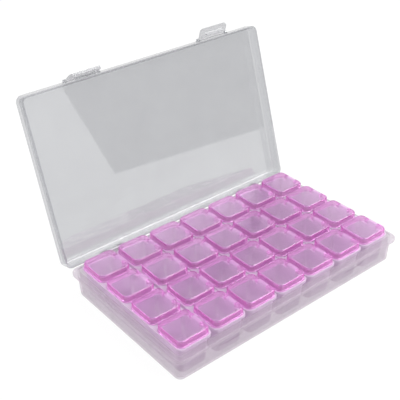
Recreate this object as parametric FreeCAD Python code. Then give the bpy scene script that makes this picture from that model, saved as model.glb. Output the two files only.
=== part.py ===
"""Bead storage box: a clear tray with a hinged lid, two latches and seven lift-out strips of flip-lid cells.

Millimetres. X runs along the box, the latches face -Y, the case hinge is at +Y and Z is up.
The origin is the centre of the tray's underside. The case lid is open, as it stands on its stops.
"""
import FreeCAD, Part
import os
from math import atan2, cos, degrees, radians, sin, sqrt

Vector = FreeCAD.Vector
X_AXIS = Vector(1, 0, 0)
Y_AXIS = Vector(0, 1, 0)

# Clearances
SEAT_GAP = 0.3            # between pieces that rest on each other
SIDE_GAP = 0.3            # between pieces that pass each other
PIN_CLEARANCE = 0.05      # radial, at every hinge pin

# Flip lids
CAP_SIZE = 21.5           # across the lip at the lid's foot
CAP_HEIGHT = 4.2
CAP_CORNER = 3.75         # corner radius seen from above
CAP_TOP = 1.1             # thickness of the top plate
CAP_SKIRT = 1.0           # thickness of the skirt
CAP_LIP_STEP = 0.35       # how far the lip stands out from the skirt
CAP_LIP_HEIGHT = 0.7
CAP_LIP_ROUND = 0.28      # rounding of the lip's upper edge
CAP_CROWN = 1.2           # rounding of the top edge
CAP_ARCH = 0.35           # rise of the ceiling from its sides to its middle

# Flip lid hinges
CAP_HINGE_INSET = 1.4     # hinge line in from the lid's outer edge
CAP_PIN_RADIUS = 0.6
CAP_PIN_LENGTH = 1.3
POST_RADIUS = 1.1         # rounded head of the post that carries the pins
POST_STEM = 1.7           # thickness of the post below its head
POST_LENGTH = 7.0
CHEEK_THICKNESS = 1.4
CHEEK_RADIUS = 1.3

# Strips of cells
STRIP_COUNT = 7
CELL_COUNT = 4
STRIP_SPACING = 1.89      # between the flip lids of neighbouring strips
CELL_SPACING = 2.35       # between the flip lids along one strip
STRIPS_SLIDE = 0.6        # the strips have slid this far towards +X in the tray
END_STRIP_SLIDE = 0.8     # and the first strip this far back from the others
STRIP_HEIGHT = 17.6       # foot to top face
STRIP_FLANGE = 1.4        # thickness of the flange under the flip lids
STRIP_FLANGE_REACH = 0.6  # flange edge beyond the flip lid's lip
STRIP_BODY_INSET = 1.35   # body in from the flange edge
STRIP_DRAFT = 0.8         # each wall leans in this far towards the foot
STRIP_WALL = 1.0
STRIP_FLOOR = 1.0
STRIP_CORNER = 3.5
CELL_PARTITION = 1.2
CELL_CORNER = 2.0

# Tray
TRAY_END_PLAY = 2.17      # outer flip lids to the rim, along X
TRAY_SIDE_PLAY = 1.4      # outer flip lids to the rim, along Y
TRAY_WALL = 1.2
TRAY_FLOOR = 1.3
TRAY_DRAFT = 0.55         # walls lean out this far from foot to flange
TRAY_CORNER = 4.0
TRAY_FOOT_ROUND = 2.2
TRAY_FLANGE_DROP = 2.3    # flange face below the strips' top face
TRAY_FLANGE = 2.2         # thickness
TRAY_FLANGE_REACH = 3.6   # inner wall face to flange edge
TRAY_FLANGE_CORNER = 5.2
TRAY_FLANGE_ROUND = 0.5
RIM_UPSTAND = 1.1         # height of the rim above the flange
RIM_WALL = 1.0
THUMB_WIDTH = 17.0        # finger recess under each latch
THUMB_DROP = 5.4
THUMB_DEPTH = 0.5
THUMB_CORNER = 3.2

# Case lid
LID_OVERHANG = 0.8        # lid edge beyond the tray's flange
LID_HEADROOM = 0.35       # flip lid tops to the lid's ceiling
LID_PANEL = 1.0
LID_WALL = 1.4
LID_CORNER = 4.1
LID_EDGE_ROUND = 1.2
LID_INNER_ROUND = 1.0
LID_OPEN_ANGLE = 106.7

# Case hinge
HINGE_END = 32.49         # middle of each hinge in from the lid's end
HINGE_INSET = 0.2         # hinge line in from the lid's back face
HINGE_PIN_RADIUS = 1.0
KNUCKLE_RADIUS = 1.9
KNUCKLE_LENGTH = 9.0
KNUCKLE_SLOT = 1.5        # snap-in slot of the lid's knuckle
KNUCKLE_WEB = 2.6         # height of the web on the lid's back wall
LUG_THICKNESS = 2.5
LUG_DROP = 6.0            # lug below the hinge line, on the back wall
STOP_HEEL = 4.5           # length of the lug's heel that stops the lid
STOP_HEEL_END = 1.5       # thickness of the heel at its tip

# Latches
LATCH_END = 38.74         # middle of each latch in from the lid's end, before the offset
LATCH_OFFSET = 1.75       # middle of the pair from the middle of the lid
LATCH_WIDTH = 21.0
LATCH_LENGTH = 7.5        # hinge line to tip
LATCH_THICKNESS = 1.3
LATCH_CORNER = 2.0
LATCH_ROOT = 0.9          # radius of the rolled root
LATCH_PIN_RADIUS = 0.5
LATCH_PIN_LENGTH = 1.2
LATCH_RISE = 1.0          # hinge line above the lid's rim
LATCH_EAR = 1.4           # thickness of the ears on the lid
LATCH_EAR_RADIUS = 1.0
LATCH_HOOK_GRIP = 0.7     # hook under the tray's flange
LATCH_HOOK_HEIGHT = 1.2
LATCH_HOOK_WIDTH = 14.0
LATCH_REST_LEFT = 65.0    # angle down from the lid's plane, left latch
LATCH_REST_RIGHT = 33.0   # and right latch
LATCH_CLOSED = 90.0

# Levels
strip_foot = TRAY_FLOOR + SEAT_GAP
strip_top = strip_foot + STRIP_HEIGHT
strip_flange_foot = strip_top - STRIP_FLANGE
cap_foot = strip_top + SEAT_GAP
cap_top = cap_foot + CAP_HEIGHT
cap_ceiling = cap_top - CAP_TOP
tray_flange_top = strip_top - TRAY_FLANGE_DROP
tray_flange_foot = tray_flange_top - TRAY_FLANGE
tray_rim_top = tray_flange_top + RIM_UPSTAND
lid_rim = tray_flange_top + SEAT_GAP
lid_ceiling = cap_top + LID_HEADROOM
lid_top = lid_ceiling + LID_PANEL

# Pattern of the cells
strip_pitch = CAP_SIZE + STRIP_SPACING
cell_pitch = CAP_SIZE + CELL_SPACING
cap_half = CAP_SIZE / 2
strips_half_length = (STRIP_COUNT - 1) / 2 * strip_pitch + cap_half
strip_half_length = (CELL_COUNT - 1) / 2 * cell_pitch + cap_half + STRIP_FLANGE_REACH
strip_half_width = cap_half + STRIP_FLANGE_REACH

# Half sizes of the tray and the case lid
tray_inner_x = strips_half_length + TRAY_END_PLAY
tray_inner_y = strip_half_length - STRIP_FLANGE_REACH + TRAY_SIDE_PLAY
tray_wall_x = tray_inner_x + TRAY_WALL
tray_wall_y = tray_inner_y + TRAY_WALL
tray_flange_x = tray_inner_x + TRAY_FLANGE_REACH
tray_flange_y = tray_inner_y + TRAY_FLANGE_REACH
lid_x = tray_flange_x + LID_OVERHANG
lid_y = tray_flange_y + LID_OVERHANG
latch_place = lid_x - LATCH_END

# Hinge lines
cap_hinge_x = cap_half - CAP_HINGE_INSET
cap_hinge_z = cap_ceiling - SIDE_GAP - POST_RADIUS
case_hinge_y = lid_y - HINGE_INSET
case_hinge_z = lid_rim
latch_hinge_y = -lid_y - SIDE_GAP - LATCH_ROOT
latch_hinge_z = lid_rim + LATCH_RISE


def rounded_wire(x0, x1, y0, y1, z, radius):
    """A rectangle with round corners, level, between two opposite corners."""
    diagonal = radius * (1 - sqrt(0.5))
    corners = [
        (Vector(x1 - radius, y0, z), Vector(x1 - diagonal, y0 + diagonal, z), Vector(x1, y0 + radius, z)),
        (Vector(x1, y1 - radius, z), Vector(x1 - diagonal, y1 - diagonal, z), Vector(x1 - radius, y1, z)),
        (Vector(x0 + radius, y1, z), Vector(x0 + diagonal, y1 - diagonal, z), Vector(x0, y1 - radius, z)),
        (Vector(x0, y0 + radius, z), Vector(x0 + diagonal, y0 + diagonal, z), Vector(x0 + radius, y0, z)),
    ]
    edges = []
    last = corners[-1][2]
    for start, middle, end in corners:
        edges.append(Part.LineSegment(last, start).toShape())
        edges.append(Part.Arc(start, middle, end).toShape())
        last = end
    return Part.Wire(edges)


def block(x0, x1, y0, y1, z0, z1):
    """A plain box between two corners."""
    return Part.makeBox(x1 - x0, y1 - y0, z1 - z0, Vector(x0, y0, z0))


def rounded_block(half_x, half_y, z0, z1, radius):
    """An upright block centred on the Z axis, with round corners seen from above."""
    face = Part.Face(rounded_wire(-half_x, half_x, -half_y, half_y, z0, radius))
    return face.extrude(Vector(0, 0, z1 - z0))


def drafted_block(low, high, z0, z1, radius):
    """A block whose outline goes from low at z0 to high at z1, each given as x0, x1, y0, y1."""
    wires = [rounded_wire(*low, z0, radius), rounded_wire(*high, z1, radius)]
    return Part.makeLoft(wires, True, True)


def arched_block(half, z0, side_z, top_z):
    """A square block centred on the Z axis, whose roof is an arch that runs along Y."""
    left = Vector(-half, -half, side_z)
    right = Vector(half, -half, side_z)
    left_foot = Vector(-half, -half, z0)
    right_foot = Vector(half, -half, z0)
    edges = [
        Part.Arc(left, Vector(0, -half, top_z), right).toShape(),
        Part.LineSegment(right, right_foot).toShape(),
        Part.LineSegment(right_foot, left_foot).toShape(),
        Part.LineSegment(left_foot, left).toShape(),
    ]
    return Part.Face(Part.Wire(edges)).extrude(Vector(0, 2 * half, 0))


def level_edges(shape, z):
    """The edges of a shape that lie in the level plane z."""
    return [edge for edge in shape.Edges if all(abs(vertex.Z - z) < 1e-6 for vertex in edge.Vertexes)]


def rod(radius, x0, x1, y, z):
    """A round rod along X."""
    return Part.makeCylinder(radius, x1 - x0, Vector(x0, y, z), X_AXIS)


def cross_rod(radius, y0, y1, x, z):
    """A round rod along Y."""
    return Part.makeCylinder(radius, y1 - y0, Vector(x, y0, z), Y_AXIS)


def plate_across(points, x0, x1):
    """A plate cut to an outline of (y, z) points and spread from x0 to x1."""
    corners = [Vector(x0, y, z) for y, z in points]
    face = Part.Face(Part.makePolygon(corners + corners[:1]))
    return face.extrude(Vector(x1 - x0, 0, 0))


def one_solid(shape):
    """The shape as one clean solid."""
    solids = shape.removeSplitter().Solids
    assert len(solids) == 1, "a piece came apart"
    return solids[0]


def flip_lid():
    """One flip lid over a cell centred on the Z axis, hinged along its +X side."""
    skirt_half = cap_half - CAP_LIP_STEP
    skirt_corner = CAP_CORNER - CAP_LIP_STEP
    upper = rounded_block(skirt_half, skirt_half, cap_foot, cap_top, skirt_corner)
    upper = upper.makeFillet(CAP_CROWN, level_edges(upper, cap_top))
    lip_top = cap_foot + CAP_LIP_HEIGHT
    lip = rounded_block(cap_half, cap_half, cap_foot, lip_top, CAP_CORNER)
    lip = lip.makeFillet(CAP_LIP_ROUND, level_edges(lip, lip_top))
    inner_half = skirt_half - CAP_SKIRT
    arch_top = cap_ceiling + CAP_ARCH
    hollow = rounded_block(inner_half, inner_half, cap_foot, arch_top, skirt_corner - CAP_SKIRT)
    shell = upper.fuse(lip).cut(hollow.common(arched_block(inner_half, cap_foot, cap_ceiling, arch_top)))

    # Room for the post, and a raised foot on the hinge side, which swings down as the lid opens
    notch_half = POST_LENGTH / 2 + SIDE_GAP
    post_back = cap_hinge_x - POST_RADIUS - SIDE_GAP
    shell = shell.cut(block(post_back, CAP_SIZE, -notch_half, notch_half, cap_foot, cap_ceiling))
    swing = cap_hinge_z - strip_top - SEAT_GAP
    relief_top = cap_hinge_z - sqrt(swing ** 2 - CAP_HINGE_INSET ** 2)
    shell = shell.cut(block(cap_hinge_x, CAP_SIZE, -CAP_SIZE, CAP_SIZE, cap_foot, relief_top))

    # Cheeks that turn on the post's pins
    cheek_end = notch_half + CHEEK_THICKNESS
    for y0, y1 in ((-cheek_end, -notch_half), (notch_half, cheek_end)):
        cheek = cross_rod(CHEEK_RADIUS, y0, y1, cap_hinge_x, cap_hinge_z)
        web_x0 = cap_hinge_x - CHEEK_RADIUS
        web_x1 = cap_hinge_x + CHEEK_RADIUS
        web = block(web_x0, web_x1, y0, y1, cap_hinge_z, cap_ceiling + CAP_TOP / 2)
        shell = shell.fuse(cheek.fuse(web).common(upper))
    hole = cross_rod(CAP_PIN_RADIUS + PIN_CLEARANCE, -cheek_end, cheek_end, cap_hinge_x, cap_hinge_z)
    return one_solid(shell.cut(hole))


def cell_bounds(index, lean):
    """Inner x0, x1, y0, y1 of one cell, with the outer walls leaning in by lean."""
    wall_x = strip_half_width - STRIP_BODY_INSET - STRIP_WALL - lean
    wall_y = strip_half_length - STRIP_BODY_INSET - STRIP_WALL - lean
    y0 = (index - CELL_COUNT / 2) * cell_pitch + CELL_PARTITION / 2
    y1 = y0 + cell_pitch - CELL_PARTITION
    return -wall_x, wall_x, max(y0, -wall_y), min(y1, wall_y)


def strip():
    """One lift-out strip of open cells, centred on the Z axis, with a hinge post beside each cell."""
    half_x = strip_half_width - STRIP_BODY_INSET
    half_y = strip_half_length - STRIP_BODY_INSET
    high = (-half_x, half_x, -half_y, half_y)
    low = (-half_x + STRIP_DRAFT, half_x - STRIP_DRAFT, -half_y + STRIP_DRAFT, half_y - STRIP_DRAFT)
    body = drafted_block(low, high, strip_foot, strip_flange_foot, STRIP_CORNER)
    flange = rounded_block(strip_half_width, strip_half_length, strip_flange_foot, strip_top, CAP_CORNER)
    body = body.fuse(flange)

    cell_floor = strip_foot + STRIP_FLOOR
    floor_lean = STRIP_DRAFT * (strip_flange_foot - cell_floor) / (strip_flange_foot - strip_foot)
    for index in range(CELL_COUNT):
        low = cell_bounds(index, floor_lean)
        high = cell_bounds(index, 0)
        cell = drafted_block(low, high, cell_floor, strip_flange_foot, CELL_CORNER)
        mouth = Part.Face(rounded_wire(*high, strip_flange_foot, CELL_CORNER))
        body = body.cut(cell).cut(mouth.extrude(Vector(0, 0, STRIP_FLANGE)))

    for index in range(CELL_COUNT):
        y = cell_y(index)
        y0 = y - POST_LENGTH / 2
        y1 = y + POST_LENGTH / 2
        stem_x0 = cap_hinge_x - POST_RADIUS
        pad = block(stem_x0, strip_half_width, y0, y1, strip_flange_foot, strip_top)
        stem = block(stem_x0, stem_x0 + POST_STEM, y0, y1, strip_top, cap_hinge_z)
        head = cross_rod(POST_RADIUS, y0, y1, cap_hinge_x, cap_hinge_z)
        pins = cross_rod(CAP_PIN_RADIUS, y0 - CAP_PIN_LENGTH, y1 + CAP_PIN_LENGTH, cap_hinge_x, cap_hinge_z)
        body = body.fuse([pad, stem, head, pins])
    return one_solid(body)


def hinge_stations():
    """The middle of each case hinge along X."""
    return HINGE_END - lid_x, lid_x - HINGE_END


def latch_stations():
    """The middle of each latch along X."""
    return LATCH_OFFSET - latch_place, LATCH_OFFSET + latch_place


def lug_spans(middle):
    """X ranges of the two lugs of one case hinge."""
    inner = KNUCKLE_LENGTH / 2 + SIDE_GAP
    outer = inner + LUG_THICKNESS
    return (middle - outer, middle - inner), (middle + inner, middle + outer)


def hinge_lug(x0, x1):
    """A lug on the tray's back wall: an eye on the hinge line and a heel under the open lid."""
    turn = radians(LID_OPEN_ANGLE)
    along_y = sin(turn)
    along_z = cos(turn)
    lift = -HINGE_INSET - SEAT_GAP
    heel_y = case_hinge_y - lift * along_z
    heel_z = case_hinge_z + lift * along_y
    tip_y = heel_y + STOP_HEEL * along_y
    tip_z = heel_z + STOP_HEEL * along_z
    root_y = tray_wall_y - TRAY_WALL / 2
    outline = [
        (root_y, case_hinge_z - LUG_DROP),
        (tip_y, tip_z - STOP_HEEL_END),
        (tip_y, tip_z),
        (heel_y, heel_z),
        (case_hinge_y, tray_flange_top),
        (root_y, tray_flange_top),
    ]
    return plate_across(outline, x0, x1).fuse(rod(KNUCKLE_RADIUS, x0, x1, case_hinge_y, case_hinge_z))


def thumb_recess(middle):
    """A shallow scoop in the front wall, with round lower corners, parallel to the leaning wall."""
    low = tray_flange_foot - THUMB_DROP
    high = tray_flange_foot + THUMB_CORNER
    wire = rounded_wire(-THUMB_WIDTH / 2, THUMB_WIDTH / 2, low, high, -THUMB_DEPTH, THUMB_CORNER)
    scoop = Part.Face(wire).extrude(Vector(0, 0, TRAY_FLANGE_REACH))
    above = block(-THUMB_WIDTH, THUMB_WIDTH, tray_flange_foot, lid_top, -TRAY_WALL, TRAY_FLANGE_REACH)
    scoop = scoop.cut(above)
    lean = degrees(atan2(TRAY_DRAFT, tray_flange_foot))
    foot = Vector(middle, TRAY_DRAFT - tray_wall_y, 0)
    scoop.Placement = FreeCAD.Placement(foot, FreeCAD.Rotation(X_AXIS, 90 + lean))
    return scoop


def tray():
    """The clear tray: floor, leaning walls, flange, rim, hinge lugs with their pins, and finger recesses."""
    foot_x = tray_wall_x - TRAY_DRAFT
    foot_y = tray_wall_y - TRAY_DRAFT
    low = (-foot_x, foot_x, -foot_y, foot_y)
    high = (-tray_wall_x, tray_wall_x, -tray_wall_y, tray_wall_y)
    wall = drafted_block(low, high, 0, tray_flange_foot, TRAY_CORNER)
    wall = wall.makeFillet(TRAY_FOOT_ROUND, level_edges(wall, 0))
    flange_levels = (tray_flange_foot, tray_flange_top)
    flange = rounded_block(tray_flange_x, tray_flange_y, *flange_levels, TRAY_FLANGE_CORNER)
    rounded = level_edges(flange, tray_flange_foot) + level_edges(flange, tray_flange_top)
    flange = flange.makeFillet(TRAY_FLANGE_ROUND, rounded)
    rim_x = tray_inner_x + RIM_WALL
    rim_y = tray_inner_y + RIM_WALL
    rim = rounded_block(rim_x, rim_y, tray_flange_foot, tray_rim_top, TRAY_CORNER)
    body = wall.fuse([flange, rim])
    for middle in hinge_stations():
        for x0, x1 in lug_spans(middle):
            body = body.fuse(hinge_lug(x0, x1))

    lean = TRAY_DRAFT * (1 - TRAY_FLOOR / tray_flange_foot)
    inner_low = (-tray_inner_x + lean, tray_inner_x - lean, -tray_inner_y + lean, tray_inner_y - lean)
    inner_high = (-tray_inner_x, tray_inner_x, -tray_inner_y, tray_inner_y)
    inner_corner = TRAY_CORNER - TRAY_WALL
    body = body.cut(drafted_block(inner_low, inner_high, TRAY_FLOOR, tray_flange_foot, inner_corner))
    body = body.cut(rounded_block(tray_inner_x, tray_inner_y, tray_flange_foot, tray_rim_top, inner_corner))

    for middle in hinge_stations():
        reach = KNUCKLE_LENGTH / 2 + SIDE_GAP
        swing = KNUCKLE_RADIUS + SIDE_GAP
        body = body.cut(rod(swing, middle - reach, middle + reach, case_hinge_y, case_hinge_z))
        body = body.fuse(rod(HINGE_PIN_RADIUS, middle - reach, middle + reach, case_hinge_y, case_hinge_z))
    for middle in (-latch_place, latch_place):
        body = body.cut(thumb_recess(middle))
    return one_solid(body)


def closed_case_lid():
    """The case lid in its closed place, with hinge knuckles behind and latch ears in front."""
    outer = rounded_block(lid_x, lid_y, lid_rim, lid_top, LID_CORNER)
    outer = outer.makeFillet(LID_EDGE_ROUND, level_edges(outer, lid_top))
    inner = rounded_block(lid_x - LID_WALL, lid_y - LID_WALL, lid_rim, lid_ceiling, LID_CORNER - LID_WALL)
    inner = inner.makeFillet(LID_INNER_ROUND, level_edges(inner, lid_ceiling))
    lid = outer.cut(inner)

    for middle in hinge_stations():
        for x0, x1 in lug_spans(middle):
            swing = KNUCKLE_RADIUS + SIDE_GAP
            lid = lid.cut(rod(swing, x0 - SIDE_GAP, x1 + SIDE_GAP, case_hinge_y, case_hinge_z))
        x0 = middle - KNUCKLE_LENGTH / 2
        x1 = middle + KNUCKLE_LENGTH / 2
        web_top = case_hinge_z + KNUCKLE_WEB
        web = block(x0, x1, lid_y - LID_WALL, case_hinge_y + HINGE_PIN_RADIUS, case_hinge_z, web_top)
        knuckle = web.fuse(rod(KNUCKLE_RADIUS, x0, x1, case_hinge_y, case_hinge_z))
        bore = rod(HINGE_PIN_RADIUS + PIN_CLEARANCE, x0, x1, case_hinge_y, case_hinge_z)
        slot_y0 = case_hinge_y - KNUCKLE_SLOT / 2
        slot_y1 = case_hinge_y + KNUCKLE_SLOT / 2
        slot = block(x0, x1, slot_y0, slot_y1, case_hinge_z - 2 * KNUCKLE_RADIUS, case_hinge_z)
        lid = lid.fuse(knuckle).cut(bore.fuse(slot))

    for middle in latch_stations():
        for side in (-1, 1):
            inner_face = middle + side * (LATCH_WIDTH / 2 + SIDE_GAP)
            outer_face = inner_face + side * LATCH_EAR
            x0 = min(inner_face, outer_face)
            x1 = max(inner_face, outer_face)
            eye = rod(LATCH_EAR_RADIUS, x0, x1, latch_hinge_y, latch_hinge_z)
            arm_z0 = latch_hinge_z - LATCH_EAR_RADIUS
            arm_z1 = latch_hinge_z + LATCH_EAR_RADIUS
            arm = block(x0, x1, latch_hinge_y, -lid_y + LID_WALL / 2, arm_z0, arm_z1)
            socket = rod(LATCH_PIN_RADIUS + PIN_CLEARANCE, x0, x1, latch_hinge_y, latch_hinge_z)
            lid = lid.fuse(eye.fuse(arm)).cut(socket)
    return one_solid(lid)


def closed_latch(middle):
    """A latch hanging closed over the tray's flange, with a rolled root, two pins and a hook."""
    x0 = middle - LATCH_WIDTH / 2
    x1 = middle + LATCH_WIDTH / 2
    half = LATCH_THICKNESS / 2
    tip_z = latch_hinge_z - LATCH_LENGTH
    flap = block(x0, x1, latch_hinge_y - half, latch_hinge_y + half, tip_z, latch_hinge_z)
    tip_corners = []
    for edge in flap.Edges:
        ends = edge.Vertexes
        if all(abs(end.Z - tip_z) < 1e-6 for end in ends) and abs(ends[0].X - ends[1].X) < 1e-6:
            tip_corners.append(edge)
    flap = flap.makeFillet(LATCH_CORNER, tip_corners)
    root = rod(LATCH_ROOT, x0, x1, latch_hinge_y, latch_hinge_z)
    pins = rod(LATCH_PIN_RADIUS, x0 - LATCH_PIN_LENGTH, x1 + LATCH_PIN_LENGTH, latch_hinge_y, latch_hinge_z)
    hook_top = tray_flange_foot - SEAT_GAP
    hook_tip = -tray_flange_y + LATCH_HOOK_GRIP
    hook = plate_across(
        [
            (latch_hinge_y, hook_top),
            (hook_tip, hook_top),
            (latch_hinge_y + half, hook_top - LATCH_HOOK_HEIGHT),
            (latch_hinge_y, hook_top - LATCH_HOOK_HEIGHT),
        ],
        middle - LATCH_HOOK_WIDTH / 2,
        middle + LATCH_HOOK_WIDTH / 2,
    )
    return one_solid(flap.fuse([root, pins, hook]))


def swung_open(shape):
    """A piece of the closed lid, turned about the case hinge to where the lid stands open."""
    turned = shape.copy()
    turned.rotate(Vector(0, case_hinge_y, case_hinge_z), -X_AXIS, LID_OPEN_ANGLE)
    return turned


def latch(middle, rest_angle):
    """A latch on the open lid, at the angle where it rests."""
    shape = closed_latch(middle)
    shape.rotate(Vector(0, latch_hinge_y, latch_hinge_z), -X_AXIS, LATCH_CLOSED - rest_angle)
    return swung_open(shape)


def strip_x(index):
    """Middle of a strip along X, counted from the left."""
    slide = STRIPS_SLIDE - END_STRIP_SLIDE if index == 0 else STRIPS_SLIDE
    return (index - (STRIP_COUNT - 1) / 2) * strip_pitch + slide


def cell_y(index):
    """Middle of a cell along Y, counted from the front."""
    return (index - (CELL_COUNT - 1) / 2) * cell_pitch


def build():
    """Every piece by name."""
    left, right = latch_stations()
    pieces = {
        "case_tray": tray(),
        "case_lid": swung_open(closed_case_lid()),
        "latch_left": latch(left, LATCH_REST_LEFT),
        "latch_right": latch(right, LATCH_REST_RIGHT),
    }
    one_strip = strip()
    one_flip_lid = flip_lid()
    for column in range(STRIP_COUNT):
        x = strip_x(column)
        pieces[f"strip_{column + 1}"] = one_strip.translated(Vector(x, 0, 0))
        for row in range(CELL_COUNT):
            name = f"flip_lid_{column + 1}_{row + 1}"
            pieces[name] = one_flip_lid.translated(Vector(x, cell_y(row), 0))
    return pieces


os.makedirs("parts", exist_ok=True)
for piece_name, piece in build().items():
    piece.exportStep(f"parts/{piece_name}.step")
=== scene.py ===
import math

import bpy
from bpy.props import FloatProperty, FloatVectorProperty, PointerProperty
from bpy.types import Operator, Panel, PropertyGroup
from mathutils import Matrix, Vector

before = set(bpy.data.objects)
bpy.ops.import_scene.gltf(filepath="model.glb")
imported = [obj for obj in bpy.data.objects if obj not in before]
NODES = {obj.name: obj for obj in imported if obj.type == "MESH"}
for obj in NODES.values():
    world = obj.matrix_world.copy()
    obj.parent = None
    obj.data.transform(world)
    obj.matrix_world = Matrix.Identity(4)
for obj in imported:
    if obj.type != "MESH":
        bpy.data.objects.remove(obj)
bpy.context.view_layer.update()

bl_info = {
    "name": "Bead storage box",
    "version": (1, 0, 0),
    "blender": (4, 5, 0),
    "location": "View3D > Sidebar > Bead box",
    "description": "Moulded plastics, stage and camera for a bead storage box with flip lids",
    "category": "Object",
}

CASE_TRAY = "case_tray"
CASE_LID = "case_lid"
LATCHES = ("latch_left", "latch_right")
STRIP_PREFIX = "strip_"
FLIP_LID_PREFIX = "flip_lid_"
WHITE = (1.0, 1.0, 1.0, 1.0)
FULL_STRENGTH = 1.0

# Width of the picture in pixels, and of the camera's sensor in millimetres
IMAGE_PIXELS = 400
SENSOR_WIDTH = 36.0

# Nearest and farthest that the camera sees, in metres
NEAR_VIEW = 0.01
FAR_VIEW = 20.0

# Where the middle of a noise's range starts and ends
NOISE_LOW = 0.3
NOISE_HIGH = 0.7

# How fine the clouds and the grain of the plastics are
CLOUD_DETAIL = 3.0
GRAIN_DETAIL = 2.0

# The setting at which a Layer Weight node gives one less the cosine of the angle of view
EVEN_FACING = 0.5

# How sharply milk and mirror grow towards a wall that is seen along its length
MILK_POWER = 3.0
MIRROR_POWER = 5.0

# Sockets of a Mix node that are for colours
MIX_FACTOR = 0
MIX_FIRST = 6
MIX_SECOND = 7
MIX_RESULT = 2

# Kinds of rays that the mirrored card is hidden from
CARD_HIDDEN_FROM = ("camera", "diffuse", "transmission", "volume_scatter", "shadow")

# Corners of the mirrored card: turn from +X in degrees, and height in metres
CARD_CORNERS = ((-62.7, 0.045), (-40.0, 0.004), (-40.0, 0.5), (-65.7, 0.5))


def colour(name, description, default):
    """A colour that a user may change."""
    return FloatVectorProperty(
        name=name, description=description, default=default, subtype="COLOR", size=3, min=0.0, max=1.0)


def share(name, description, default):
    """A share from none to all."""
    return FloatProperty(
        name=name, description=description, default=default, subtype="FACTOR", min=0.0, max=1.0)


def level(name, description, default):
    """A plain amount from nothing up."""
    return FloatProperty(name=name, description=description, default=default, min=0.0)


def length(name, description, default):
    """A length in metres."""
    return FloatProperty(
        name=name, description=description, default=default, subtype="DISTANCE", unit="LENGTH", min=0.0,
        precision=5)


def power(name, description, default):
    """The power of a lamp in watts."""
    return FloatProperty(name=name, description=description, default=default, unit="POWER", min=0.0)


def angle(name, description, degrees):
    """An angle, written here in degrees."""
    return FloatProperty(
        name=name, description=description, default=math.radians(degrees), subtype="ANGLE", unit="ROTATION")


def place(name, description, default):
    """A point in the part's frame, in metres."""
    return FloatVectorProperty(
        name=name, description=description, default=default, subtype="TRANSLATION", unit="LENGTH", size=3)


class PlasticLook:
    """What all the moulded plastics of the box have."""

    milk: colour("Milk", "Colour of the light that the plastic scatters", (0.6, 0.52, 0.6))
    deep_milk: colour("Deep milk", "Colour of its denser clouds", (0.57, 0.49, 0.57))
    # Painted glow: edge glow milk is a lighter colour for walls seen along their length, standing in for
    # light that the plastic carries to its edges and for caustic highlights.
    edge_glow_milk: colour("Edge milk", "Colour of walls that are seen along their length", (0.7, 0.66, 0.69))
    tint: colour("Tint", "Colour that each face of a wall lets through", (0.95, 0.94, 0.95))
    milkiness: share("Milkiness", "Share of the light that each face scatters", 0.28)
    cloudiness: share("Cloudiness", "How far that share varies from cloud to cloud", 0.02)
    # The edge milkiness is the longer path through a wall seen along it; the colour that it shows there is
    # the painted glow above.
    edge_milkiness: share("Edge milkiness", "Share added where a wall is seen along it", 0.35)
    glow: share("Glow", "Share of the scattered light that comes out at the far side", 0.45)
    cloud_size: length("Cloud size", "Width of the clouds left by the flow of the melt", 0.028)
    gloss: share("Gloss", "Share of the light that a face mirrors straight back", 0.04)
    smoothest: share("Smoothest", "Roughness where the mould was polished best", 0.1)
    roughest: share("Roughest", "Roughness where the mould was polished least", 0.2)
    grain_size: length("Grain size", "Width of the fine unevenness of the moulded skin", 0.0016)
    grain_depth: length("Grain depth", "Height of that unevenness", 0.000006)


class TrayPlasticLook(PlasticLook, PropertyGroup):
    """Natural plastic of the tray."""


class LidPlasticLook(PlasticLook, PropertyGroup):
    """Clearer, greyer plastic of the lid."""

    milk: colour("Milk", "Colour of the light that the lid scatters", (0.42, 0.425, 0.44))
    deep_milk: colour("Deep milk", "Colour of its denser clouds", (0.4, 0.405, 0.42))
    # Painted glow: a far lighter edge colour than the lid's milk, standing in for caustic highlights along
    # the lid's edges.
    edge_glow_milk: colour("Edge milk", "Colour of walls that are seen along their length", (0.86, 0.862, 0.87))
    tint: colour("Tint", "Colour that each face of the lid lets through", (0.808, 0.812, 0.824))
    milkiness: share("Milkiness", "Share of the light that each face of the lid scatters", 0.08)
    edge_milkiness: share("Edge milkiness", "Share added where a wall is seen along it", 0.7)
    gloss: share("Gloss", "Share of the light that the lid mirrors straight back", 0.1)
    grain_depth: length("Grain depth", "Height of the unevenness of the lid's skin", 0.0000015)
    smoothest: share("Smoothest", "Roughness where the mould was polished best", 0.015)
    roughest: share("Roughest", "Roughness where the mould was polished least", 0.045)


class LatchPlasticLook(LidPlasticLook, PropertyGroup):
    """Denser plastic of the latches."""

    milk: colour("Milk", "Colour of the light that the latches scatter", (0.26, 0.262, 0.27))
    tint: colour("Tint", "Colour that each face of a latch lets through", (0.93, 0.933, 0.94))
    milkiness: share("Milkiness", "Share of the light that each face of a latch scatters", 0.3)
    gloss: share("Gloss", "Share of the light that a latch mirrors straight back", 0.04)


class StripPlasticLook(PlasticLook, PropertyGroup):
    """Paler lavender plastic of the lift-out strips."""

    milk: colour("Milk", "Colour of the light that the strips scatter", (0.75, 0.69, 0.77))
    deep_milk: colour("Deep milk", "Colour of their denser clouds", (0.72, 0.66, 0.74))
    # Painted glow: a slightly lighter edge colour, standing in for light carried to the strips' edges.
    edge_glow_milk: colour("Edge milk", "Colour of walls that are seen along their length", (0.8, 0.72, 0.82))
    tint: colour("Tint", "Colour that each face of a strip lets through", (0.98, 0.95, 0.98))
    milkiness: share("Milkiness", "Share of the light that each face of a strip scatters", 0.42)


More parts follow.
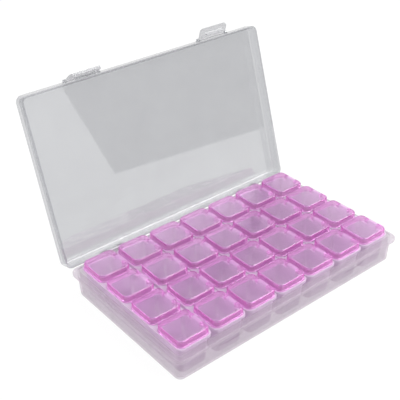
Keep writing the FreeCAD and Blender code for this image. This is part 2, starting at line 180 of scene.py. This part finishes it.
class FlipLidPlasticLook(PlasticLook, PropertyGroup):
    """Clear pink plastic of the flip lids."""

    milk: colour("Milk", "Colour of the light that the flip lids scatter", (0.7, 0.44, 0.72))
    deep_milk: colour("Deep milk", "Colour of their denser clouds", (0.62, 0.38, 0.66))
    # Painted glow: a brighter, deeper pink at the edges, standing in for light that the pink plastic
    # carries to its edges.
    edge_glow_milk: colour("Edge milk", "Colour of walls that are seen along their length", (0.78, 0.34, 0.72))
    tint: colour("Tint", "Colour that each face of a flip lid lets through", (1.0, 0.98, 1.0))
    milkiness: share("Milkiness", "Share of the light that each face of a flip lid scatters", 0.07)
    grain_depth: length("Grain depth", "Height of the unevenness of the flip lids' skin", 0.000002)
    cloud_size: length("Cloud size", "Width of the clouds left by the flow of the melt", 0.009)
    gloss: share("Gloss", "Share of the light that a flip lid mirrors besides its clear share", 0.02)
    smoothest: share("Smoothest", "Roughness where the mould was polished best", 0.05)
    roughest: share("Roughest", "Roughness where the mould was polished least", 0.13)


class LevelWallPaintedLightLook(PropertyGroup):
    """Painted light on the strips' level walls: faces that look up or down get a lighter colour and more
    milk, to brighten them where they lie in shade.
    """

    # Painted light: a lighter milk and extra milkiness on every level wall, whatever light reaches it.
    milk: colour("Milk", "Colour of the light that the level walls scatter", (0.74, 0.67, 0.76))
    milkiness: share("Milkiness", "Share that is added to what the level walls scatter", 0.3)


class SkirtPaintedGlowLook(PropertyGroup):
    """Painted glow on the flip lids' upright skirts: a deeper, saturated pink on every upright face,
    standing in for light that the pink plastic pipes along its skirts.
    """

    # Painted glow: this pink and the added milkiness go on every upright face, whatever light reaches it.
    milk: colour("Milk", "Colour of the light that the skirts scatter", (0.62, 0.16, 0.5))
    milkiness: share("Milkiness", "Share that is added to what the skirts scatter", 0.2)


class DyeLook(PropertyGroup):
    """Pink dye in the flip lids, which deepens with the thickness that the light crosses."""

    dye: colour("Dye", "Colour that the dye turns the light", (0.98, 0.44, 0.95))
    strength: level("Strength", "Strength of the dye, per metre of plastic", 300.0)
    bending: level("Bending", "Refractive index of the plastic", 1.49)
    haze: share("Haze", "Roughness that blurs what is seen through the plastic", 0.12)


class StageLook(PropertyGroup):
    """Floor, light and camera."""

    floor_colour: colour("Floor", "Colour of the floor", (0.95, 0.95, 0.95))
    floor_radius: length("Floor radius", "Half the floor's width", 3.0)
    whiteness: share("Whiteness", "Share of plain white that the floor shows beside its shadows", 0.93)
    ambient: level("Ambient light", "Level of the light from all round", 0.57)
    back_soft_box: place("Back soft box", "Place of the soft box behind on the left", (-0.52, 0.68, 0.54))
    back_width: length("Back width", "Width and height of the soft box behind on the left", 0.5)
    back_power: power("Back power", "Power of the soft box behind on the left", 7.0)
    front_soft_box: place(
        "Front soft box", "Place of the soft box in front on the right", (0.54, -0.44, 0.73))
    front_width: length("Front width", "Width and height of the soft box in front on the right", 1.0)
    front_power: power("Front power", "Power of the soft box in front on the right", 16.5)
    card_colour: colour("Card", "Colour of the card that the lid mirrors", (0.03, 0.03, 0.03))
    card_distance: length("Card distance", "How far the card stands from the box", 1.5)
    camera_place: place("Camera", "Place of the camera", (-0.261148, -0.288015, 0.296011))
    camera_turn: angle("Camera turn", "Turn of the camera from the box's front", -38.904)
    camera_rise: angle("Camera rise", "Angle of the camera above the horizon", 31.824)
    camera_roll: angle("Camera roll", "Tilt of the picture", -1.001)
    camera_focus: level("Focal length", "Focal length in pixels of the picture", 792.44)


class NodeTree:
    """Adds and joins the nodes of one material or world."""

    def __init__(self, owner):
        owner.use_nodes = True
        self.tree = owner.node_tree
        self.tree.nodes.clear()

    def add(self, kind, inputs=None, **settings):
        """One node, with its inputs set to values or fed from other nodes' outputs."""
        node = self.tree.nodes.new("ShaderNode" + kind)
        for name, value in settings.items():
            setattr(node, name, value)
        for key, value in (inputs or {}).items():
            if isinstance(value, bpy.types.NodeSocket):
                self.tree.links.new(value, node.inputs[key])
            else:
                node.inputs[key].default_value = value
        return node

    def noise(self, size, detail):
        """Soft noise that stays with the piece; its spots are about that size."""
        place_on_piece = self.add("TexCoord").outputs["Object"]
        noise = self.add("TexNoise", {"Vector": place_on_piece, "Scale": 1.0 / size, "Detail": detail})
        return noise.outputs["Fac"]

    def ranged(self, value, low, high):
        """The middle of a noise's range spread over low to high."""
        inputs = {"Value": value, "From Min": NOISE_LOW, "From Max": NOISE_HIGH}
        inputs.update({"To Min": low, "To Max": high})
        return self.add("MapRange", inputs).outputs["Result"]

    def math(self, operation, first, second):
        """One calculation with two numbers or outputs."""
        return self.add("Math", {0: first, 1: second}, operation=operation).outputs["Value"]

    def tinge(self, factor, first, second):
        """Two colours, with the second's share given by factor."""
        inputs = {MIX_FACTOR: factor, MIX_FIRST: first, MIX_SECOND: second}
        return self.add("Mix", inputs, data_type="RGBA").outputs[MIX_RESULT]

    def level(self):
        """One on a piece's level walls, and none on its upright ones."""
        facing = self.add("TexCoord").outputs["Normal"]
        height = self.add("SeparateXYZ", {"Vector": facing}).outputs["Z"]
        return self.add("Math", {0: height}, operation="ABSOLUTE").outputs["Value"]

    def upright(self):
        """One on a piece's upright walls, and none on its level ones."""
        return self.math("SUBTRACT", 1.0, self.level())

    def blend(self, factor, first, second):
        """Two shaders, with the second's share given by factor."""
        return self.add("MixShader", {0: factor, 1: first, 2: second}).outputs["Shader"]

    def lighting_only(self):
        """One for rays that only carry light to what is behind a wall."""
        path = self.add("LightPath").outputs
        return self.math("MAXIMUM", path["Is Shadow Ray"], path["Is Diffuse Ray"])

    def seen_directly(self):
        """One for rays that show the background, and none for those that only light things."""
        path = self.add("LightPath").outputs
        mirrored = self.math("MAXIMUM", path["Is Camera Ray"], path["Is Glossy Ray"])
        return self.math("MAXIMUM", mirrored, path["Is Transmission Ray"])


def opaque(rgb):
    """A colour with full cover."""
    return (*rgb, 1.0)


def moulded_plastic(name, look, level_walls_painted_light=None, upright_walls_painted_glow=None, dye=None):
    """Milky see-through plastic: each face lets some light through, scatters some and mirrors a little.

    Level walls may get painted light and upright walls a painted glow, in looks of their own; walls seen
    along their length get a painted glow too, and dyed plastic bends what is seen through it.
    """
    material = bpy.data.materials.new(name)
    tree = NodeTree(material)
    clouds = tree.noise(look.cloud_size, CLOUD_DETAIL)
    grain = tree.noise(look.grain_size, GRAIN_DETAIL)
    bump = tree.add("Bump", {"Height": grain, "Distance": look.grain_depth, "Strength": FULL_STRENGTH})
    skin = bump.outputs["Normal"]
    sideways = tree.add("LayerWeight", {"Blend": EVEN_FACING, "Normal": skin}).outputs["Facing"]
    along_wall = tree.math("POWER", sideways, MILK_POWER)
    milk = tree.tinge(clouds, opaque(look.milk), opaque(look.deep_milk))
    # Painted glow: where a wall is seen along its length, its milk turns to the lighter edge glow colour.
    milk = tree.tinge(along_wall, milk, opaque(look.edge_glow_milk))
    milkiness = tree.ranged(clouds, look.milkiness - look.cloudiness, look.milkiness + look.cloudiness)
    milkiness = tree.math("ADD", milkiness, tree.math("MULTIPLY", along_wall, look.edge_milkiness))
    # Painted light on level walls and painted glow on upright walls: their own milk and extra milkiness,
    # set by which way a face looks.
    for walls, where in ((level_walls_painted_light, tree.level), (upright_walls_painted_glow, tree.upright)):
        if walls is not None:
            walls_share = where()
            milk = tree.tinge(walls_share, milk, opaque(walls.milk))
            milkiness = tree.math("ADD", milkiness, tree.math("MULTIPLY", walls_share, walls.milkiness))
    near_side = tree.add("BsdfDiffuse", {"Color": milk, "Normal": skin}).outputs["BSDF"]
    far_side = tree.add("BsdfTranslucent", {"Color": milk, "Normal": skin}).outputs["BSDF"]
    scattered = tree.blend(look.glow, near_side, far_side)
    clear = tree.add("BsdfTransparent", {"Color": opaque(look.tint)}).outputs["BSDF"]
    roughness = tree.ranged(grain, look.smoothest, look.roughest)
    outputs = {}
    if dye is not None:
        bent = tree.add(
            "BsdfGlass",
            {"Color": opaque(look.tint), "Roughness": dye.haze, "IOR": dye.bending, "Normal": skin})
        clear = tree.blend(tree.lighting_only(), bent.outputs["BSDF"], clear)
        depth = tree.add("VolumeAbsorption", {"Color": opaque(dye.dye), "Density": dye.strength})
        outputs["Volume"] = depth.outputs["Volume"]
    body = tree.blend(milkiness, clear, scattered)
    mirror = tree.add("BsdfGlossy", {"Roughness": roughness, "Normal": skin}).outputs["BSDF"]
    grazing = tree.math("MULTIPLY", tree.math("POWER", sideways, MIRROR_POWER), 1.0 - look.gloss)
    outputs["Surface"] = tree.blend(tree.math("ADD", grazing, look.gloss), body, mirror)
    tree.add("OutputMaterial", outputs)
    return material


def dress(node_name, material):
    """Gives a piece of the packed part its material."""
    piece = NODES[node_name]
    piece.data.materials.clear()
    piece.data.materials.append(material)


def named(prefix):
    """The packed pieces whose names start so, in order."""
    found = sorted(name for name in NODES if name.startswith(prefix))
    if not found:
        raise RuntimeError("the packed part has no piece named " + prefix)
    return found


class BEADBOX_OT_case_tray(Operator):
    """Gives the tray its natural plastic"""

    bl_idname = "beadbox.case_tray"
    bl_label = "Case tray"

    def execute(self, context):
        dress(CASE_TRAY, moulded_plastic("natural_tray_plastic", context.scene.bead_box_tray))
        return {"FINISHED"}


class BEADBOX_OT_case_lid(Operator):
    """Gives the lid its clear plastic"""

    bl_idname = "beadbox.case_lid"
    bl_label = "Case lid"

    def execute(self, context):
        dress(CASE_LID, moulded_plastic("clear_lid_plastic", context.scene.bead_box_lid))
        return {"FINISHED"}


class BEADBOX_OT_latches(Operator):
    """Gives both latches their denser plastic"""

    bl_idname = "beadbox.latches"
    bl_label = "Latches"

    def execute(self, context):
        plastic = moulded_plastic("dense_latch_plastic", context.scene.bead_box_latches)
        for name in LATCHES:
            dress(name, plastic)
        return {"FINISHED"}


class BEADBOX_OT_strips(Operator):
    """Gives the seven strips their lavender plastic"""

    bl_idname = "beadbox.strips"
    bl_label = "Strips"

    def execute(self, context):
        scene = context.scene
        # The strips' level walls get painted light, lighter and milkier than the rest.
        plastic = moulded_plastic(
            "lavender_strip_plastic", scene.bead_box_strips, level_walls_painted_light=scene.bead_box_flanges)
        for name in named(STRIP_PREFIX):
            dress(name, plastic)
        return {"FINISHED"}


class BEADBOX_OT_flip_lids(Operator):
    """Gives the flip lids their clear pink plastic"""

    bl_idname = "beadbox.flip_lids"
    bl_label = "Flip lids"

    def execute(self, context):
        scene = context.scene
        # The flip lids' upright skirts get a painted glow of deeper pink.
        plastic = moulded_plastic(
            "clear_pink_plastic", scene.bead_box_flip_lids,
            upright_walls_painted_glow=scene.bead_box_skirts, dye=scene.bead_box_dye)
        for name in named(FLIP_LID_PREFIX):
            dress(name, plastic)
        return {"FINISHED"}


def link(scene, name, data):
    """A new object in the scene."""
    made = bpy.data.objects.new(name, data)
    scene.collection.objects.link(made)
    return made


def flat_sheet(scene, name, corners, material):
    """A flat four-cornered sheet of the stage."""
    mesh = bpy.data.meshes.new(name)
    mesh.from_pydata(corners, [], [tuple(range(len(corners)))])
    mesh.materials.append(material)
    sheet = link(scene, name, mesh)
    return sheet


def floor_material(look):
    """White where it is seen or mirrored, with a faint share of the shadows."""
    material = bpy.data.materials.new("white_floor")
    tree = NodeTree(material)
    lit = tree.add("BsdfDiffuse", {"Color": opaque(look.floor_colour)}).outputs["BSDF"]
    white = tree.add("Emission", {"Strength": FULL_STRENGTH}).outputs["Emission"]
    factor = tree.math("MULTIPLY", tree.seen_directly(), look.whiteness)
    tree.add("OutputMaterial", {"Surface": tree.blend(factor, lit, white)})
    return material


def card_material(look):
    """Dark felt of the mirrored card."""
    material = bpy.data.materials.new("dark_card")
    tree = NodeTree(material)
    felt = tree.add("BsdfDiffuse", {"Color": opaque(look.card_colour)}).outputs["BSDF"]
    tree.add("OutputMaterial", {"Surface": felt})
    return material


def light_world(scene, look):
    """Even light from all round, and plain white where the surroundings show."""
    scene.world = bpy.data.worlds.new("soft_studio")
    tree = NodeTree(scene.world)
    lighting = tree.add("Background", {"Color": WHITE, "Strength": look.ambient}).outputs["Background"]
    white = tree.add("Background", {"Color": WHITE, "Strength": FULL_STRENGTH}).outputs["Background"]
    tree.add("OutputWorld", {"Surface": tree.blend(tree.seen_directly(), lighting, white)})


def soft_box(scene, name, where, width, watts, mirrored):
    """A square soft light that faces the box, with or without mirror pictures of itself."""
    data = bpy.data.lights.new(name, "AREA")
    data.shape = "SQUARE"
    data.size = width
    data.energy = watts
    lamp = link(scene, name, data)
    lamp.location = where
    lamp.rotation_euler = Vector(where).to_track_quat("Z", "Y").to_euler()
    lamp.visible_camera = False
    lamp.visible_glossy = mirrored


def mirrored_card(scene, look):
    """A dark card in front on the right, which only shows as a mirror picture in the lid."""
    reach = look.card_distance
    corners = []
    for degrees, height in CARD_CORNERS:
        turn = math.radians(degrees)
        corners.append((math.cos(turn) * reach, math.sin(turn) * reach, height))
    card = flat_sheet(scene, "dark_card", corners, card_material(look))
    for ray in CARD_HIDDEN_FROM:
        setattr(card, "visible_" + ray, False)


def place_camera(scene, look):
    """The camera at the photograph's place and angle."""
    turn, rise = look.camera_turn, look.camera_rise
    back = Vector((math.sin(turn) * math.cos(rise), -math.cos(turn) * math.cos(rise), math.sin(rise)))
    right = Vector((0.0, 0.0, 1.0)).cross(back).normalized()
    up = back.cross(right)
    rolled_right = right * math.cos(look.camera_roll) + up * math.sin(look.camera_roll)
    rolled_up = up * math.cos(look.camera_roll) - right * math.sin(look.camera_roll)
    data = bpy.data.cameras.new("camera")
    data.sensor_width = SENSOR_WIDTH
    data.lens = look.camera_focus * SENSOR_WIDTH / IMAGE_PIXELS
    data.clip_start = NEAR_VIEW
    data.clip_end = FAR_VIEW
    camera = link(scene, "camera", data)
    axes = Matrix((rolled_right, rolled_up, back)).transposed()
    camera.matrix_world = Matrix.Translation(look.camera_place) @ axes.to_4x4()
    scene.camera = camera


class BEADBOX_OT_stage(Operator):
    """Makes the floor, the light, the mirrored card and the camera"""

    bl_idname = "beadbox.stage"
    bl_label = "Stage"

    def execute(self, context):
        scene = context.scene
        look = scene.bead_box_stage
        scene.view_settings.view_transform = "Standard"
        reach = look.floor_radius
        corners = [(-reach, -reach, 0.0), (reach, -reach, 0.0), (reach, reach, 0.0), (-reach, reach, 0.0)]
        flat_sheet(scene, "floor", corners, floor_material(look))
        light_world(scene, look)
        soft_box(
            scene, "back_soft_box", look.back_soft_box, look.back_width, look.back_power, mirrored=False)
        soft_box(
            scene, "front_soft_box", look.front_soft_box, look.front_width, look.front_power, mirrored=True)
        mirrored_card(scene, look)
        place_camera(scene, look)
        return {"FINISHED"}


class BEADBOX_PT_panel(Panel):
    """Lists the pieces and their looks"""

    bl_idname = "BEADBOX_PT_panel"
    bl_label = "Bead box"
    bl_space_type = "VIEW_3D"
    bl_region_type = "UI"
    bl_category = "Bead box"

    def draw(self, context):
        for operator in OPERATORS:
            self.layout.operator(operator.bl_idname)
        for name, look_class in LOOKS.items():
            box = self.layout.box()
            box.label(text=look_class.__doc__)
            look = getattr(context.scene, name)
            for key in look.bl_rna.properties.keys():
                if key not in ("rna_type", "name"):
                    box.prop(look, key)


OPERATORS = (
    BEADBOX_OT_stage,
    BEADBOX_OT_case_tray,
    BEADBOX_OT_case_lid,
    BEADBOX_OT_latches,
    BEADBOX_OT_strips,
    BEADBOX_OT_flip_lids,
)
LOOKS = {
    "bead_box_tray": TrayPlasticLook,
    "bead_box_lid": LidPlasticLook,
    "bead_box_latches": LatchPlasticLook,
    "bead_box_strips": StripPlasticLook,
    "bead_box_flip_lids": FlipLidPlasticLook,
    "bead_box_flanges": LevelWallPaintedLightLook,
    "bead_box_skirts": SkirtPaintedGlowLook,
    "bead_box_dye": DyeLook,
    "bead_box_stage": StageLook,
}


def register():
    """Adds the looks, the operators and the panel."""
    for look_class in LOOKS.values():
        bpy.utils.register_class(look_class)
    for name, look_class in LOOKS.items():
        setattr(bpy.types.Scene, name, PointerProperty(type=look_class))
    for operator in OPERATORS:
        bpy.utils.register_class(operator)
    bpy.utils.register_class(BEADBOX_PT_panel)


def unregister():
    """Takes the looks, the operators and the panel out again."""
    bpy.utils.unregister_class(BEADBOX_PT_panel)
    for operator in reversed(OPERATORS):
        bpy.utils.unregister_class(operator)
    for name in LOOKS:
        delattr(bpy.types.Scene, name)
    for look_class in reversed(list(LOOKS.values())):
        bpy.utils.unregister_class(look_class)


def main():
    register()
    bpy.ops.beadbox.stage()
    bpy.ops.beadbox.case_tray()
    bpy.ops.beadbox.case_lid()
    bpy.ops.beadbox.latches()
    bpy.ops.beadbox.strips()
    bpy.ops.beadbox.flip_lids()


if __name__ == "__main__":
    main()
